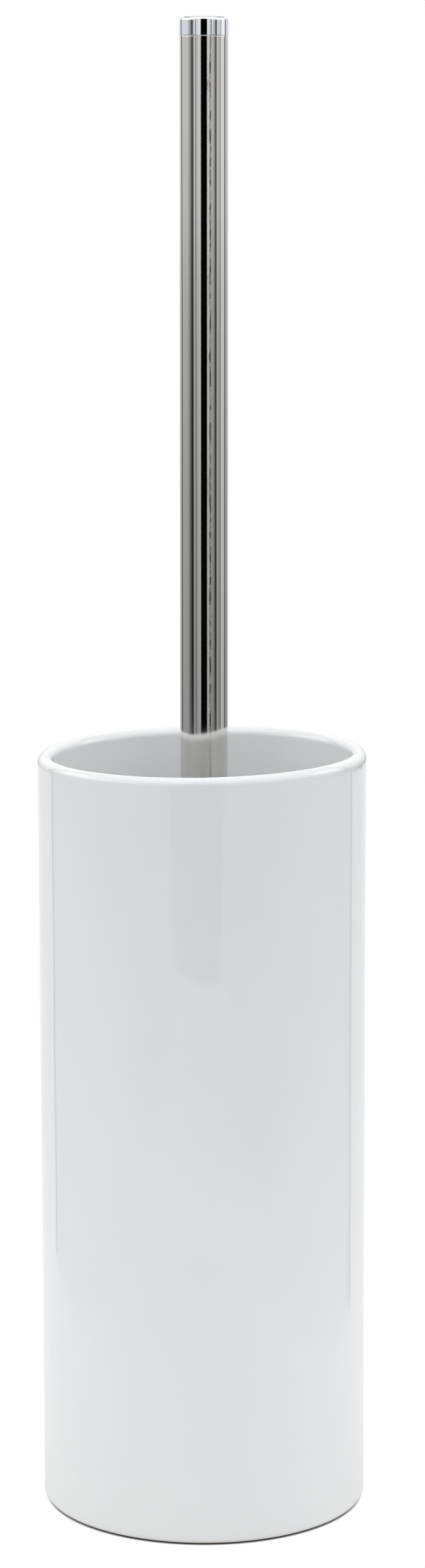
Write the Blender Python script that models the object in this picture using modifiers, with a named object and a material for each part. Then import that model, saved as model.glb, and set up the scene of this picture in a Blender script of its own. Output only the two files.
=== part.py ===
"""Free-standing toilet brush set: an open glazed ceramic tube that holds a brush with a steel tube handle.

Run with: blender --background --python part.py

Frame: +Z up, origin on the standing surface at the centre of the holder. Lengths are metres.
The pieces stack upwards: anti-slip ring, ceramic holder, brush head, sealing washer, handle.
The brush stands loose in the holder and lifts out along +Z. Its handle unscrews from its head
by a right-hand metric thread on the same axis.
"""

import math

import bmesh
import bpy
from mathutils import Vector

# Gap kept between pieces that touch on the real object.
TOUCH = 0.0003
# Radial and axial play of the screw thread.
THREAD_PLAY = 0.00025

# Ceramic holder
HOLDER_DIAMETER = 0.088
HOLDER_HEIGHT = 0.2066
HOLDER_WALL = 0.004
HOLDER_FLOOR = 0.005
HOLDER_FLOOR_FILLET = 0.006
FOOT_EDGE_ROUND = 0.0015
FOOT_RING_WIDTH = 0.008
FOOT_RECESS_DEPTH = 0.002
FOOT_RECESS_DRAFT = 0.001

# Anti-slip foam ring stuck into the foot's recess, standing a little proud of the foot
RING_WIDTH = 0.008
RING_PROUD = 0.0004

# Handle tube
TUBE_DIAMETER = 0.0127
TUBE_WALL = 0.0006
TUBE_LENGTH = 0.2843

# End cap: a plated button with a hollow plug pressed into the tube
CAP_OVERHANG = 0.00015
CAP_HEIGHT = 0.0048
CAP_EDGE_ROUND = 0.0009
CAP_LOWER_ROUND = 0.0002
CAP_PLUG_LENGTH = 0.012
CAP_PLUG_WALL = 0.0012
CAP_CROWN_THICKNESS = 0.0022

# Bush in the lower end of the tube
BUSH_LENGTH = 0.022
BUSH_FLANGE = 0.002

# Threaded stud, M8 coarse, moulded into the bush
THREAD_DIAMETER = 0.008
THREAD_PITCH = 0.00125
THREAD_TURNS_ENGAGED = 10
THREAD_START_DROP = 0.0001
STUD_COVER_IN_BUSH = 0.005
STUD_TIP_CHAMFER = 0.0006

# Threaded insert moulded into the head
INSERT_WALL = 0.0016
INSERT_FLANGE_LIP = 0.0014
INSERT_FLANGE = 0.0012
INSERT_TIP_ROOM = 0.0015

# Brush head core
NECK_WALL = 0.0025
NECK_HEIGHT = 0.012
NECK_EDGE_ROUND = 0.0012
CORE_DIAMETER = 0.024
CORE_HEIGHT = 0.084
CORE_NOSE_ROUND = 0.008

# Sealing washer between bush and head, set in from the neck's edge
WASHER_INSET = 0.00175
WASHER_THICKNESS = 0.0015

# Bristles: tufts in rows round the core, and round its nose
BRUSH_CLEARANCE = 0.003
TUFT_ROOT_WIDTH = 0.0032
ROW_COUNT = 9
ROW_MARGIN = 0.0006
ROW_TIP_GAP = 0.0008
NOSE_TUFT_REACH = 0.0150
NOSE_SIDE_TRIM = 0.0042
NOSE_END_TRIM = 0.0029
NOSE_UPPER_SLOPE = math.radians(-30)
NOSE_LOWER_SLOPE = math.radians(-62)
NOSE_TIP_DIAMETER = 0.020

# Facets of the round pieces
HOLDER_FACETS = 64
BRUSH_FACETS = 32
THREAD_FACETS = 16
MERGE = 1e-5

# Sizes across the axis that follow from the ones above
BORE_RADIUS = HOLDER_DIAMETER / 2 - HOLDER_WALL
RECESS_RADIUS = HOLDER_DIAMETER / 2 - FOOT_RING_WIDTH
TUBE_RADIUS = TUBE_DIAMETER / 2
PLUG_RADIUS = TUBE_RADIUS - TUBE_WALL - TOUCH
THREAD_CREST = THREAD_DIAMETER / 2
THREAD_DEPTH = 0.6134 * THREAD_PITCH
THREAD_ROOT = THREAD_CREST - THREAD_DEPTH
THREAD_LENGTH = THREAD_TURNS_ENGAGED * THREAD_PITCH
INSERT_RADIUS = THREAD_CREST + INSERT_WALL
INSERT_FLANGE_RADIUS = INSERT_RADIUS + INSERT_FLANGE_LIP
INSERT_LENGTH = THREAD_LENGTH + INSERT_TIP_ROOM
NECK_RADIUS = INSERT_FLANGE_RADIUS + NECK_WALL
CORE_RADIUS = CORE_DIAMETER / 2
TUFT_FOOT_RADIUS = CORE_RADIUS + TOUCH
BRISTLE_RADIUS = BORE_RADIUS - BRUSH_CLEARANCE

# Levels up the axis, each worked out from the piece below it
HOLDER_BASE_Z = RING_PROUD
RECESS_Z = HOLDER_BASE_Z + FOOT_RECESS_DEPTH
HOLDER_TOP_Z = HOLDER_BASE_Z + HOLDER_HEIGHT
INNER_FLOOR_Z = RECESS_Z + HOLDER_FLOOR
BRISTLE_BASE_Z = INNER_FLOOR_Z + TOUCH
CORE_BASE_Z = BRISTLE_BASE_Z + NOSE_TUFT_REACH
CORE_TOP_Z = CORE_BASE_Z + CORE_HEIGHT
THREAD_DATUM_Z = CORE_TOP_Z - THREAD_START_DROP
WASHER_BASE_Z = CORE_TOP_Z + TOUCH
BUSH_BASE_Z = WASHER_BASE_Z + WASHER_THICKNESS + TOUCH
TUBE_BASE_Z = BUSH_BASE_Z + BUSH_FLANGE + TOUCH
TUBE_TOP_Z = TUBE_BASE_Z + TUBE_LENGTH
CAP_BASE_Z = TUBE_TOP_Z + TOUCH
CAP_TOP_Z = CAP_BASE_Z + CAP_HEIGHT

# The core's barrel, between its round nose and its shoulder, and the rows of tufts spread along it
NOSE_CENTRE = (CORE_RADIUS - CORE_NOSE_ROUND, CORE_BASE_Z + CORE_NOSE_ROUND)
NECK_BASE_Z = CORE_TOP_Z - NECK_HEIGHT
BARREL_TOP_Z = NECK_BASE_Z - abs(CORE_RADIUS - NECK_RADIUS)
FIRST_ROW_Z = NOSE_CENTRE[1] + ROW_MARGIN + TUFT_ROOT_WIDTH / 2
LAST_ROW_Z = BARREL_TOP_Z - ROW_MARGIN - TUFT_ROOT_WIDTH / 2
ROW_PITCH = (LAST_ROW_Z - FIRST_ROW_Z) / (ROW_COUNT - 1)
TUFT_TIP_WIDTH = ROW_PITCH - ROW_TIP_GAP


def clear_scene():
    for obj in list(bpy.data.objects):
        bpy.data.objects.remove(obj, do_unlink=True)


def new_collection(name, hidden=False):
    collection = bpy.data.collections.new(name)
    bpy.context.scene.collection.children.link(collection)
    collection.hide_render = hidden
    return collection


def material(name, colour, roughness, metallic=0.0):
    made = bpy.data.materials.new(name)
    made.use_nodes = True
    shader = made.node_tree.nodes["Principled BSDF"]
    shader.inputs["Base Color"].default_value = (*colour, 1.0)
    shader.inputs["Roughness"].default_value = roughness
    shader.inputs["Metallic"].default_value = metallic
    return made


def arc(centre, radius, start_deg, end_deg, steps):
    """Points of an arc in the profile plane, as (radius, height), both ends included."""
    angles = [math.radians(start_deg + (end_deg - start_deg) * i / steps) for i in range(steps + 1)]
    return [(centre[0] + radius * math.cos(a), centre[1] + radius * math.sin(a)) for a in angles]


def place(obj, parent, finish):
    """Puts an object on its body's empty, keeping its place, and gives it its material."""
    obj.parent = parent
    obj.matrix_parent_inverse = parent.matrix_world.inverted()
    obj.data.materials.append(finish)
    return obj


def turned(name, profile, collection, facets, closed_loop):
    """A turned solid. Its profile runs down the outer side, and an open profile has both ends on the axis."""
    mesh = bpy.data.meshes.new(name)
    points = [(radius, 0.0, height) for radius, height in profile]
    edges = [(i, i + 1) for i in range(len(points) - 1)]
    if closed_loop:
        edges.append((len(points) - 1, 0))
    mesh.from_pydata(points, edges, [])
    obj = bpy.data.objects.new(name, mesh)
    collection.objects.link(obj)
    screw = obj.modifiers.new("turn", "SCREW")
    screw.axis = "Z"
    screw.steps = facets
    screw.render_steps = facets
    screw.use_merge_vertices = True
    screw.merge_threshold = MERGE
    screw.use_smooth_shade = True
    return obj


def threaded_rod(name, crest, root, base_z, top_z, collection):
    """A right-hand screw thread about the axis, cut flat at both ends, its turns counted from one datum."""
    crest_flat = THREAD_PITCH / 8
    root_flat = THREAD_PITCH / 4
    flank = (THREAD_PITCH - crest_flat - root_flat) / 2
    first_turn = math.floor((base_z - THREAD_DATUM_Z) / THREAD_PITCH) - 1
    turns = math.ceil((top_z - THREAD_DATUM_Z) / THREAD_PITCH) + 1 - first_turn
    start = THREAD_DATUM_Z + first_turn * THREAD_PITCH
    heights = (0, flank, flank + crest_flat, 2 * flank + crest_flat, THREAD_PITCH)
    radii = (root, crest, crest, root, root)
    mesh = bpy.data.meshes.new(name)
    points = [(r, 0.0, start + h) for r, h in zip(radii, heights)]
    mesh.from_pydata(points, [(i, i + 1) for i in range(len(points) - 1)], [])
    obj = bpy.data.objects.new(name, mesh)
    collection.objects.link(obj)
    screw = obj.modifiers.new("thread", "SCREW")
    screw.axis = "Z"
    screw.steps = THREAD_FACETS
    screw.render_steps = THREAD_FACETS
    screw.iterations = turns
    screw.screw_offset = THREAD_PITCH
    screw.use_merge_vertices = True
    screw.merge_threshold = MERGE
    applied = applied_mesh(obj)
    obj.modifiers.clear()
    obj.data = applied
    body = bmesh.new()
    body.from_mesh(applied)
    bmesh.ops.remove_doubles(body, verts=body.verts, dist=MERGE)
    for height, up in ((base_z, -1), (top_z, 1)):
        cut = bmesh.ops.bisect_plane(
            body,
            geom=body.verts[:] + body.edges[:] + body.faces[:],
            plane_co=(0, 0, height),
            plane_no=(0, 0, up),
            clear_outer=True,
        )
        rim = [item for item in cut["geom_cut"] if isinstance(item, bmesh.types.BMEdge)]
        bmesh.ops.edgeloop_fill(body, edges=rim)
    bmesh.ops.recalc_face_normals(body, faces=body.faces)
    body.to_mesh(applied)
    body.free()
    return obj


def applied_mesh(obj):
    """The object's mesh with its modifiers applied."""
    bpy.context.view_layer.update()
    evaluated = obj.evaluated_get(bpy.context.evaluated_depsgraph_get())
    return bpy.data.meshes.new_from_object(evaluated)


def combine(obj, other, operation):
    """Joins or cuts obj with a helper object, which stays out of the render."""
    boolean = obj.modifiers.new(operation.lower(), "BOOLEAN")
    boolean.object = other
    boolean.operation = operation
    boolean.solver = "EXACT"
    other.hide_render = True
    other.display_type = "WIRE"
    return obj


def holder(collection):
    outer = HOLDER_DIAMETER / 2
    rim_round = HOLDER_WALL / 2
    rim_z = HOLDER_TOP_Z - rim_round
    fillet_centre = (BORE_RADIUS - HOLDER_FLOOR_FILLET, INNER_FLOOR_Z + HOLDER_FLOOR_FILLET)
    foot_centre = (outer - FOOT_EDGE_ROUND, HOLDER_BASE_Z + FOOT_EDGE_ROUND)
    profile = [(0, INNER_FLOOR_Z)]
    profile += arc(fillet_centre, HOLDER_FLOOR_FILLET, -90, 0, 4)
    profile += arc((outer - rim_round, rim_z), rim_round, 180, 0, 8)
    profile += arc(foot_centre, FOOT_EDGE_ROUND, 0, -90, 3)
    profile += [(RECESS_RADIUS, HOLDER_BASE_Z), (RECESS_RADIUS - FOOT_RECESS_DRAFT, RECESS_Z), (0, RECESS_Z)]
    return turned("holder", profile, collection, HOLDER_FACETS, closed_loop=False)


def flat_ring(name, outer, inner, base_z, thickness, collection, facets):
    """A ring of rectangular section."""
    top_z = base_z + thickness
    profile = [(inner, top_z), (outer, top_z), (outer, base_z), (inner, base_z)]
    return turned(name, profile, collection, facets, closed_loop=True)


def anti_slip_ring(collection):
    outer = RECESS_RADIUS - FOOT_RECESS_DRAFT - TOUCH
    inner = outer - RING_WIDTH
    return flat_ring("anti_slip_ring", outer, inner, 0, RECESS_Z - TOUCH, collection, HOLDER_FACETS)


def handle_tube(collection):
    lip = TUBE_WALL / 4
    bore = TUBE_RADIUS - TUBE_WALL
    profile = [
        (bore, TUBE_TOP_Z),
        (TUBE_RADIUS - lip, TUBE_TOP_Z),
        (TUBE_RADIUS, TUBE_TOP_Z - lip),
        (TUBE_RADIUS, TUBE_BASE_Z + lip),
        (TUBE_RADIUS - lip, TUBE_BASE_Z),
        (bore, TUBE_BASE_Z),
    ]
    return turned("handle_tube", profile, collection, BRUSH_FACETS, closed_loop=True)


def end_cap(collection):
    outer = TUBE_RADIUS + CAP_OVERHANG
    plug_base_z = CAP_BASE_Z - CAP_PLUG_LENGTH
    hollow = PLUG_RADIUS - CAP_PLUG_WALL
    hollow_top_z = CAP_TOP_Z - CAP_CROWN_THICKNESS
    profile = [(0, CAP_TOP_Z)]
    profile += arc((outer - CAP_EDGE_ROUND, CAP_TOP_Z - CAP_EDGE_ROUND), CAP_EDGE_ROUND, 90, 0, 4)
    profile += arc((outer - CAP_LOWER_ROUND, CAP_BASE_Z + CAP_LOWER_ROUND), CAP_LOWER_ROUND, 0, -90, 2)
    profile += [
        (PLUG_RADIUS, CAP_BASE_Z),
        (PLUG_RADIUS, plug_base_z + CAP_PLUG_WALL / 2),
        (PLUG_RADIUS - CAP_PLUG_WALL / 2, plug_base_z),
        (hollow, plug_base_z),
        (hollow, hollow_top_z),
        (0, hollow_top_z),
    ]
    return turned("end_cap", profile, collection, BRUSH_FACETS, closed_loop=False)


def tube_bush(collection):
    bore = THREAD_CREST + TOUCH
    lead_in = min(TUBE_WALL, PLUG_RADIUS - bore) / 2
    top_z = BUSH_BASE_Z + BUSH_LENGTH
    flange_z = BUSH_BASE_Z + BUSH_FLANGE
    profile = [
        (bore, top_z),
        (PLUG_RADIUS - lead_in, top_z),
        (PLUG_RADIUS, top_z - lead_in),
        (PLUG_RADIUS, flange_z),
        (TUBE_RADIUS, flange_z),
        (TUBE_RADIUS, BUSH_BASE_Z + lead_in),
        (TUBE_RADIUS - lead_in, BUSH_BASE_Z),
        (bore, BUSH_BASE_Z),
    ]
    return turned("tube_bush", profile, collection, BRUSH_FACETS, closed_loop=True)


def threaded_stud(collection, helpers):
    """The thread stands out below the bush; a plain shank is gripped inside it."""
    tip_z = CORE_TOP_Z - THREAD_LENGTH
    shank_z = BUSH_BASE_Z - TOUCH
    shank_top_z = BUSH_BASE_Z + BUSH_LENGTH - STUD_COVER_IN_BUSH
    thread_top_z = shank_z + THREAD_PITCH / 2
    end_radius = THREAD_CREST - STUD_TIP_CHAMFER
    wide = THREAD_DIAMETER
    thread = threaded_rod("stud_thread", THREAD_CREST, THREAD_ROOT, tip_z, thread_top_z, helpers)
    chamfer_form = [
        (0, shank_top_z),
        (wide, shank_top_z),
        (wide, tip_z + wide - end_radius),
        (end_radius, tip_z),
        (end_radius, tip_z - THREAD_PITCH),
        (0, tip_z - THREAD_PITCH),
    ]
    tip_cone = turned("stud_tip_cone", chamfer_form, helpers, THREAD_FACETS, closed_loop=False)
    combine(thread, tip_cone, "INTERSECT")
    shank_profile = [
        (0, shank_top_z),
        (end_radius, shank_top_z),
        (THREAD_CREST, shank_top_z - STUD_TIP_CHAMFER),
        (THREAD_CREST, shank_z),
        (0, shank_z),
    ]
    shank = turned("threaded_stud", shank_profile, collection, THREAD_FACETS, closed_loop=False)
    return combine(shank, thread, "UNION")


def seal_washer(collection):
    outer = NECK_RADIUS - WASHER_INSET
    bore = THREAD_CREST + TOUCH
    return flat_ring("seal_washer", outer, bore, WASHER_BASE_Z, WASHER_THICKNESS, collection, BRUSH_FACETS)


def threaded_insert(collection, helpers):
    flange_z = CORE_TOP_Z - INSERT_FLANGE
    base_z = CORE_TOP_Z - INSERT_LENGTH
    profile = [
        (0, CORE_TOP_Z),
        (INSERT_FLANGE_RADIUS, CORE_TOP_Z),
        (INSERT_FLANGE_RADIUS, flange_z),
        (INSERT_RADIUS, flange_z),
        (INSERT_RADIUS, base_z),
        (0, base_z),
    ]
    insert = turned("threaded_insert", profile, collection, BRUSH_FACETS, closed_loop=False)
    tap = threaded_rod(
        "insert_tap",
        THREAD_CREST + THREAD_PLAY,
        THREAD_ROOT + THREAD_PLAY,
        base_z - THREAD_PITCH,
        CORE_TOP_Z + THREAD_PITCH,
        helpers,
    )
    return combine(insert, tap, "DIFFERENCE")


def brush_core(collection):
    """The moulded core: a neck with a stepped pocket for the insert, a shoulder, a barrel and a nose."""
    pocket = INSERT_RADIUS + TOUCH
    flange_pocket = INSERT_FLANGE_RADIUS + TOUCH
    pocket_z = CORE_TOP_Z - INSERT_LENGTH - TOUCH
    step_z = CORE_TOP_Z - INSERT_FLANGE - TOUCH
    neck_edge_centre = (NECK_RADIUS - NECK_EDGE_ROUND, CORE_TOP_Z - NECK_EDGE_ROUND)
    profile = [(0, pocket_z), (pocket, pocket_z), (pocket, step_z)]
    profile += [(flange_pocket, step_z), (flange_pocket, CORE_TOP_Z)]
    profile += arc(neck_edge_centre, NECK_EDGE_ROUND, 90, 0, 3)
    profile += [(NECK_RADIUS, NECK_BASE_Z), (CORE_RADIUS, BARREL_TOP_Z)]
    profile += arc(NOSE_CENTRE, CORE_NOSE_ROUND, 0, -90, 5)
    profile += [(0, CORE_BASE_Z)]
    return turned("brush_core", profile, collection, BRUSH_FACETS, closed_loop=False)


def fan(root, slope, length):
    """The section of a ring of tufts: narrow at its root, wider at its tips, leaning by slope."""
    along = Vector((math.cos(slope), math.sin(slope)))
    across = Vector((-along.y, along.x))
    tip = Vector(root) + along * length
    half_root = across * TUFT_ROOT_WIDTH / 2
    half_tip = across * TUFT_TIP_WIDTH / 2
    corners = (Vector(root) + half_root, tip + half_tip, tip - half_tip, Vector(root) - half_root)
    return [tuple(corner) for corner in corners]


def bristle_row(index, collection):
    """One row of tufts standing straight out of the barrel."""
    root = (TUFT_FOOT_RADIUS, FIRST_ROW_Z + index * ROW_PITCH)
    section = fan(root, 0, BRISTLE_RADIUS - TUFT_FOOT_RADIUS)
    return turned(f"bristle_row_{index + 1}", section, collection, BRUSH_FACETS, closed_loop=True)


def nose_row(name, slope, collection):
    """One row of tufts leaning down from the nose, trimmed at the side or the end, whichever is nearer."""
    foot = CORE_NOSE_ROUND + TOUCH
    root = (NOSE_CENTRE[0] + foot * math.cos(slope), NOSE_CENTRE[1] + foot * math.sin(slope))
    to_side = (BRISTLE_RADIUS - NOSE_SIDE_TRIM - root[0]) / math.cos(slope)
    to_end = (root[1] - BRISTLE_BASE_Z - NOSE_END_TRIM) / math.sin(-slope)
    return turned(name, fan(root, slope, min(to_side, to_end)), collection, BRUSH_FACETS, closed_loop=True)


def bristle_tip(collection):
    """The tufts set straight down into the nose, on which the brush stands."""
    foot_z = CORE_BASE_Z - TOUCH
    tip = NOSE_TIP_DIAMETER / 2
    profile = [(0, foot_z), (TUFT_ROOT_WIDTH, foot_z), (tip, BRISTLE_BASE_Z), (0, BRISTLE_BASE_Z)]
    return turned("bristle_tip", profile, collection, BRUSH_FACETS, closed_loop=False)


def body_frame(name, height, collection):
    """An empty on the axis that carries one moving group of pieces."""
    empty = bpy.data.objects.new(name, None)
    empty.location = (0, 0, height)
    collection.objects.link(empty)
    bpy.context.view_layer.update()
    return empty


def build():
    clear_scene()
    parts = new_collection("toilet_brush_set")
    helpers = new_collection("cutters", hidden=True)
    glaze = material("white_glaze", (0.82, 0.83, 0.84), 0.08)
    foam = material("black_foam", (0.015, 0.015, 0.016), 0.9)
    steel = material("polished_steel", (0.66, 0.64, 0.61), 0.08, 1.0)
    chrome = material("plated_cap", (0.80, 0.82, 0.85), 0.03, 1.0)
    nylon = material("grey_nylon", (0.32, 0.32, 0.33), 0.5)
    zinc = material("zinc_stud", (0.62, 0.63, 0.66), 0.3, 1.0)
    rubber = material("seal_rubber", (0.03, 0.03, 0.03), 0.8)
    brass = material("brass_insert", (0.70, 0.52, 0.25), 0.3, 1.0)
    moulding = material("white_moulding", (0.84, 0.84, 0.82), 0.4)
    bristle = material("white_bristle", (0.87, 0.87, 0.85), 0.5)

    holder_frame = body_frame("holder_frame", 0, parts)
    place(holder(parts), holder_frame, glaze)
    place(anti_slip_ring(parts), holder_frame, foam)

    head_frame = body_frame("brush_head_frame", BRISTLE_BASE_Z, parts)
    place(brush_core(parts), head_frame, moulding)
    place(threaded_insert(parts, helpers), head_frame, brass)
    for index in range(ROW_COUNT):
        place(bristle_row(index, parts), head_frame, bristle)
    place(nose_row("nose_row_upper", NOSE_UPPER_SLOPE, parts), head_frame, bristle)
    place(nose_row("nose_row_lower", NOSE_LOWER_SLOPE, parts), head_frame, bristle)
    place(bristle_tip(parts), head_frame, bristle)

    seal_frame = body_frame("seal_frame", WASHER_BASE_Z, parts)
    place(seal_washer(parts), seal_frame, rubber)

    handle_frame = body_frame("handle_frame", BUSH_BASE_Z, parts)
    place(handle_tube(parts), handle_frame, steel)
    place(end_cap(parts), handle_frame, chrome)
    place(tube_bush(parts), handle_frame, nylon)
    place(threaded_stud(parts, helpers), handle_frame, zinc)


build()
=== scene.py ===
"""The looks of a toilet brush set: a tall glazed cup, and in it a loose brush on a polished steel handle."""

import math

import bmesh
import bpy
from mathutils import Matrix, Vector, noise


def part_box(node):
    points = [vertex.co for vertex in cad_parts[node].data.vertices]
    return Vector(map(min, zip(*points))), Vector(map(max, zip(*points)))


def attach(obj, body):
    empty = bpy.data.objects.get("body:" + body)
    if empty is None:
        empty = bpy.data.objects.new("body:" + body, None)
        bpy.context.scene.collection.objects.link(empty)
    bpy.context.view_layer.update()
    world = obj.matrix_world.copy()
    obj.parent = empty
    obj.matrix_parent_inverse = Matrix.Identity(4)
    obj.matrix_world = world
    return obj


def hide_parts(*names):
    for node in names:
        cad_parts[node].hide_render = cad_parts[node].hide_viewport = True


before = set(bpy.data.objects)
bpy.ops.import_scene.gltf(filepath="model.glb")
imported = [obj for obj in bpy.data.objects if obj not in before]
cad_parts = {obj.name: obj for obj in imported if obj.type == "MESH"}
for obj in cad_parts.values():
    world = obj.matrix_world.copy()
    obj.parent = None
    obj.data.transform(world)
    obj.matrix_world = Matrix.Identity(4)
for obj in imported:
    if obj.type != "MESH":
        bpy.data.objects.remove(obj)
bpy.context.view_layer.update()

MM = 0.001

# Cup, in metres
CUP_WALL = 0.004
CUP_FLOOR = 0.005
CUP_FILLET = 0.006
FOOT_ROUND = 0.0015
FOOT_RING_WIDTH = 0.008
FOOT_RECESS_DEPTH = 0.002
FOOT_RECESS_DRAFT = 0.001
FOOT_EDGE_IN = 0.4 * MM
FOOT_EDGE_UP = 0.3 * MM

# Small faults of a slip-cast cup: it leans, and its rim isn't quite square
CAST_LEAN = -0.0006
RIM_TILT = 0.0007
CAST_RIPPLE = 0.00006
# Inside this radius the floor has no ripple
CAST_CALM = 0.02
CAST_WAVES = 34
CAST_FINE_WAVES = 80

# Handle
TUBE_WALL = 0.0006
CAP_EDGE_ROUND = 0.0009
CAP_LOWER_ROUND = 0.00015
CAP_CROWN = 0.00012
CAP_SEAT_GAP = 0.04 * MM
CAP_PLUG_REACH = 1.05 * MM
CAP_PLUG_LEAD = 0.6 * MM
CAP_PLUG_WALL = 1.2 * MM
CAP_THICKNESS = 2.2 * MM
BUSH_FLANGE_REACH = 0.9 * MM
BUSH_FLANGE_HEIGHT = 2 * MM
BUSH_SLEEVE_RIBS = 12
BUSH_RIB_DEPTH = 0.12 * MM

# Screw thread between the handle and the head
THREAD_PITCH = 0.00125
THREAD_CREST = 0.004
THREAD_DEPTH = 0.6134 * THREAD_PITCH
THREAD_PLAY = 0.00025
THREAD_DROP = 0.0001
STUD_CHAMFER = 0.0006

# Head
NUT_FLANGE_REACH = 1.4 * MM
NUT_FLANGE_HEIGHT = 1.2 * MM
NUT_KNURLS = 36
NUT_KNURL_DEPTH = 0.15 * MM
NECK_RADIUS = 0.0095
NECK_HEIGHT = 0.012
NECK_ROUND = 0.0012
NOSE_ROUND = 0.008
PARTING_HEIGHT = 0.06 * MM
PARTING_WIDTH = 0.4 * MM
BRISTLE_ROWS = 9
TUFT_HOLE = 0.0032
TUFT_DEPTH = 1.2 * MM
TUFTS_IN_ROW = 18
FILAMENTS_IN_TUFT = 46
FILAMENT_RADIUS = 0.00014
FILAMENT_PLAY = (0.85, 1.1)
FILAMENT_SLENDERNESS = 180
FILAMENT_BOW = 5
FILAMENT_POINTS = 5
FILAMENT_SIDES = 4
TRIM_PLAY = 0.0003
# Share of its hole that a tuft fills, and of its sector that its tips cover
TUFT_FILL = 0.95
TUFT_SPREAD = 1.15
NOSE_UPPER_SLOPE = math.radians(-30)
NOSE_LOWER_SLOPE = math.radians(-62)
NOSE_UPPER_SHORTER = 4.2 * MM
NOSE_LOWER_RISE = 2.9 * MM
NOSE_UPPER_TUFTS = 16
NOSE_LOWER_TUFTS = 11
NOSE_TUFT_DEPTH = 1.0 * MM
NOSE_TUFT_HALF = 3.2 * MM
NOSE_STAGGER = 0.1
TIP_TUFTS = 6
TIP_FILAMENTS = 60
TIP_RISE = 0.1 * MM
TIP_TRIM_PLAY = 0.0001
# Seeds of the rows, of the nose rows and of the tip, and the step from a row to the next
NOSE_SEED = 200
TIP_SEED = 300
SEED_STEP = 10

# Clearance that fitted pieces keep
GAP = 0.3 * MM

# Segments round a turned piece
FINE = 192
MEDIUM = 96
COARSE = 48
# Lengths below these are nothing
ON_AXIS = 1e-6
SAME_PLACE = 1e-7
# A ring of points this close to a rounded edge keeps the long face beside it flat
HOLD = 0.15 * MM


# ---- shapes ----------------------------------------------------------------------------------------------


def arc(centre, radius, start, end, steps):
    """Points of an arc in the (radius, height) plane, angles in degrees."""
    turns = [math.radians(start + (end - start) * i / steps) for i in range(steps + 1)]
    return [(centre[0] + radius * math.cos(t), centre[1] + radius * math.sin(t)) for t in turns]


def straight(start, end, steps, hold=0.0):
    """Evenly spaced points from start to end, both included, and one more at hold from either end."""
    (r0, z0), (r1, z1) = start, end
    shares = [i / steps for i in range(steps + 1)]
    if hold:
        near = hold / math.dist(start, end)
        shares = sorted([*shares, near, 1 - near])
    return [(r0 + (r1 - r0) * share, z0 + (z1 - z0) * share) for share in shares]


def turned(name, profile, segments, closed=False, radius_at=None):
    """A turned piece from its section. radius_at(radius, height, angle) may change the radius on the way."""
    mesh = bpy.data.meshes.new(name)
    body = bmesh.new()
    rings = []
    for radius, height in profile:
        if radius < ON_AXIS:
            rings.append([body.verts.new((0, 0, height))])
            continue
        ring = []
        for i in range(segments):
            angle = 2 * math.pi * i / segments
            r = radius if radius_at is None else radius_at(radius, height, angle)
            ring.append(body.verts.new((r * math.cos(angle), r * math.sin(angle), height)))
        rings.append(ring)
    pairs = list(zip(rings, rings[1:]))
    if closed:
        pairs.append((rings[-1], rings[0]))
    for low, high in pairs:
        for i in range(segments):
            j = (i + 1) % segments
            corners = [low[i % len(low)], low[j % len(low)], high[j % len(high)], high[i % len(high)]]
            unique = list(dict.fromkeys(corners))
            if len(unique) > 2:
                body.faces.new(unique)
    bmesh.ops.remove_doubles(body, verts=body.verts, dist=SAME_PLACE)
    bmesh.ops.recalc_face_normals(body, faces=body.faces)
    body.to_mesh(mesh)
    body.free()
    return finished(name, mesh)


def finished(name, mesh, sharp=40):
    """An object for a mesh, smooth except over edges sharper than that many degrees."""
    mesh.shade_smooth()
    mesh.set_sharp_from_angle(angle=math.radians(sharp))
    obj = bpy.data.objects.new(name, mesh)
    bpy.context.scene.collection.objects.link(obj)
    return obj


def evaluated_mesh(obj):
    """The object's mesh with its modifiers applied."""
    bpy.context.view_layer.update()
    return bpy.data.meshes.new_from_object(obj.evaluated_get(bpy.context.evaluated_depsgraph_get()))


def combined(obj, other, operation):
    """obj joined with, cut by or limited to other, which is used up."""
    boolean = obj.modifiers.new(operation.lower(), "BOOLEAN")
    boolean.object = other
    boolean.operation = operation
    boolean.solver = "EXACT"
    mesh = evaluated_mesh(obj)
    name = obj.name
    for used in (obj, other):
        bpy.data.objects.remove(used)
    mesh.name = name
    return finished(name, mesh, 35)


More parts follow.
